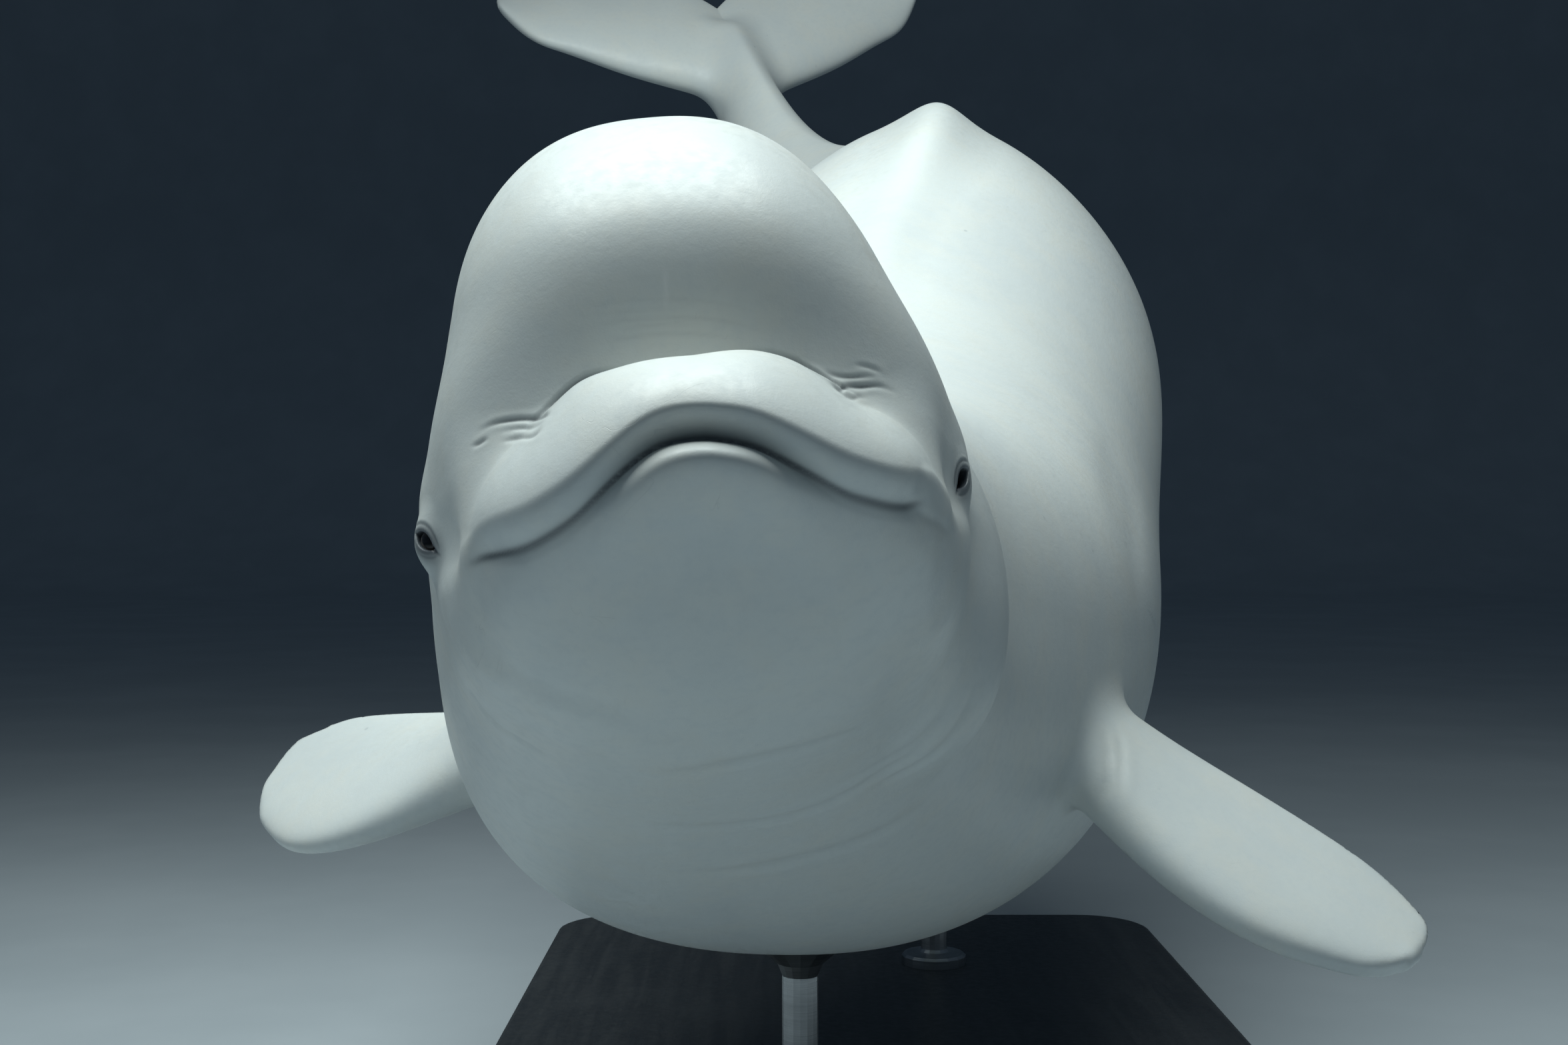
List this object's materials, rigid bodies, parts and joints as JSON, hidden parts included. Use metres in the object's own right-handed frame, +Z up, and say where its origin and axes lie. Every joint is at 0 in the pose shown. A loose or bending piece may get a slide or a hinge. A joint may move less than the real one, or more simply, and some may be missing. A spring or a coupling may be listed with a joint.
{
  "type": "beluga whale",
  "caption": "Still life-size adult beluga whale, head lifted, flippers spread and tail raised, held over a flat base by upright rods.",
  "frame": {"origin": "middle of the stand base's underside, on the floor", "axes": "+Z up; the head points mostly toward -Y and the tail toward +Y; +X is to the animal's left"},
  "size_m": [1.3541, 3.4206, 2.1415],
  "materials": {
    "skin": "smooth, pale, softly sheened whale skin",
    "eye": "wet, near black",
    "stand_base": "satin dark paint",
    "stand_rod": "brushed"
  },
  "bodies": {
    "root": {"melon": "skin", "head": "skin", "upper_lip": "skin", "lower_jaw": "skin", "neck": "skin", "chest": "skin", "trunk_front": "skin", "trunk_rear": "skin", "tail_stock": "skin", "fluke_left": "skin", "fluke_right": "skin", "flipper_left": "skin", "flipper_right": "skin", "eye_left": "eye", "eye_right": "eye", "stand_base": "stand_base", "stand_rod_front": "stand_rod", "stand_rod_rear": "stand_rod"}
  },
  "joints": []
}
